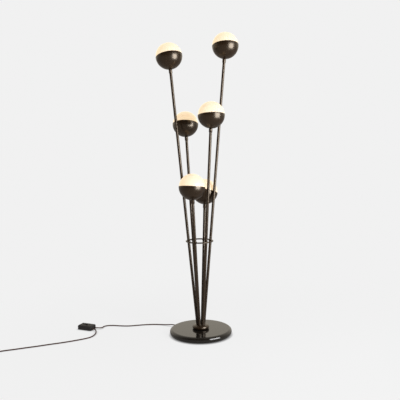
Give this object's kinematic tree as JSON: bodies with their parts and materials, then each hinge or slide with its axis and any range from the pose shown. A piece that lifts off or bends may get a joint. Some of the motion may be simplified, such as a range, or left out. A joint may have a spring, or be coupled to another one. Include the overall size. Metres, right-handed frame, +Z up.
{
  "type": "floor lamp",
  "caption": "Tree floor lamp: a round weighted foot and hub with slim stems that lean out to opal glass globes in tilted metal cups, and a floor dimmer on the lead.",
  "frame": {"origin": "the middle of the foot's underside, on the floor", "axes": "+Z up the lamp, +X to the viewer's right in the picture, +Y away from the viewer"},
  "size_m": [1.431, 0.6027, 1.7303],
  "materials": {
    "black_enamel": "gloss near-black enamel",
    "cast_iron": "raw casting",
    "zinc_plate": "zinc-plated sheet",
    "felt": "black felt",
    "steel": "zinc-plated steel",
    "white_plastic": "plain",
    "wire_rubber": "grey wire jacket",
    "bronze": "satin dark brown bronze",
    "black_plastic": "satin black",
    "braid": "brown to maroon woven cover",
    "gloss_black": "gloss black",
    "board": "green circuit board",
    "pad_rubber": "soft black pad",
    "slider_grey": "gloss black knob",
    "pin_brass": "nickel-plated brass",
    "opal_glass": "satin opal white glass",
    "bulb_white": "frosted lamp"
  },
  "bodies": {
    "stand": {"foot_shell": "black_enamel", "foot_weight": "cast_iron", "foot_cover": "zinc_plate", "foot_felt": "felt", "cover_screws": "steel", "terminal_block": "white_plastic", "inner_wires": "wire_rubber", "hub": "bronze", "hub_bolt": "steel", "clamp_plate": "zinc_plate", "stem_1": "bronze", "stem_2": "bronze", "stem_3": "bronze", "stem_4": "bronze", "stem_5": "bronze", "stem_6": "bronze", "stem_ring": "bronze", "ring_clips": "bronze", "cord_gland": "black_plastic", "cord_to_dimmer": "braid", "dimmer_lower_shell": "gloss_black", "dimmer_upper_shell": "gloss_black", "dimmer_board": "board", "dimmer_screws": "steel", "dimmer_pads": "pad_rubber", "cord_to_coil": "braid", "cord_coil": "braid", "plug_body": "black_plastic", "plug_pins": "pin_brass"},
    "head_1": {"cup_1": "bronze", "globe_1": "opal_glass", "lampholder_1": "white_plastic", "bulb_1": "bulb_white", "neck_1": "bronze"},
    "head_2": {"cup_2": "bronze", "globe_2": "opal_glass", "lampholder_2": "white_plastic", "bulb_2": "bulb_white", "neck_2": "bronze"},
    "head_3": {"cup_3": "bronze", "globe_3": "opal_glass", "lampholder_3": "white_plastic", "bulb_3": "bulb_white", "neck_3": "bronze"},
    "head_4": {"cup_4": "bronze", "globe_4": "opal_glass", "lampholder_4": "white_plastic", "bulb_4": "bulb_white", "neck_4": "bronze"},
    "head_5": {"cup_5": "bronze", "globe_5": "opal_glass", "lampholder_5": "white_plastic", "bulb_5": "bulb_white", "neck_5": "bronze"},
    "head_6": {"cup_6": "bronze", "globe_6": "opal_glass", "lampholder_6": "white_plastic", "bulb_6": "bulb_white", "neck_6": "bronze"},
    "dimmer_knob": {"dimmer_slider": "slider_grey"}
  },
  "joints": [
    {"name": "head_1_turn", "type": "hinge", "parent": "stand", "child": "head_1", "pos_m": [0.1608, 0.0169, 1.657], "axis": [0.0884, 0.0093, 0.996], "range_deg": [-170, 170]},
    {"name": "head_2_turn", "type": "hinge", "parent": "stand", "child": "head_2", "pos_m": [-0.15557, -0.01635, 1.598], "axis": [-0.0884, -0.0093, 0.996], "range_deg": [-170, 170]},
    {"name": "head_3_turn", "type": "hinge", "parent": "stand", "child": "head_3", "pos_m": [0.07447, -0.10251, 1.265], "axis": [0.0523, -0.0719, 0.996], "range_deg": [-170, 170]},
    {"name": "head_4_turn", "type": "hinge", "parent": "stand", "child": "head_4", "pos_m": [-0.07238, 0.09962, 1.225], "axis": [-0.0523, 0.0719, 0.996], "range_deg": [-170, 170]},
    {"name": "head_5_turn", "type": "hinge", "parent": "stand", "child": "head_5", "pos_m": [-0.0372, -0.08354, 0.87], "axis": [-0.0362, -0.0812, 0.996], "range_deg": [-170, 170]},
    {"name": "head_6_turn", "type": "hinge", "parent": "stand", "child": "head_6", "pos_m": [0.03574, 0.08028, 0.83], "axis": [0.0362, 0.0812, 0.996], "range_deg": [-170, 170]},
    {"name": "dimmer_slide", "type": "slide", "parent": "stand", "child": "dimmer_knob", "axis": [0.9205, -0.3907, 0], "range_m": [-0.018, 0.018]}
  ]
}
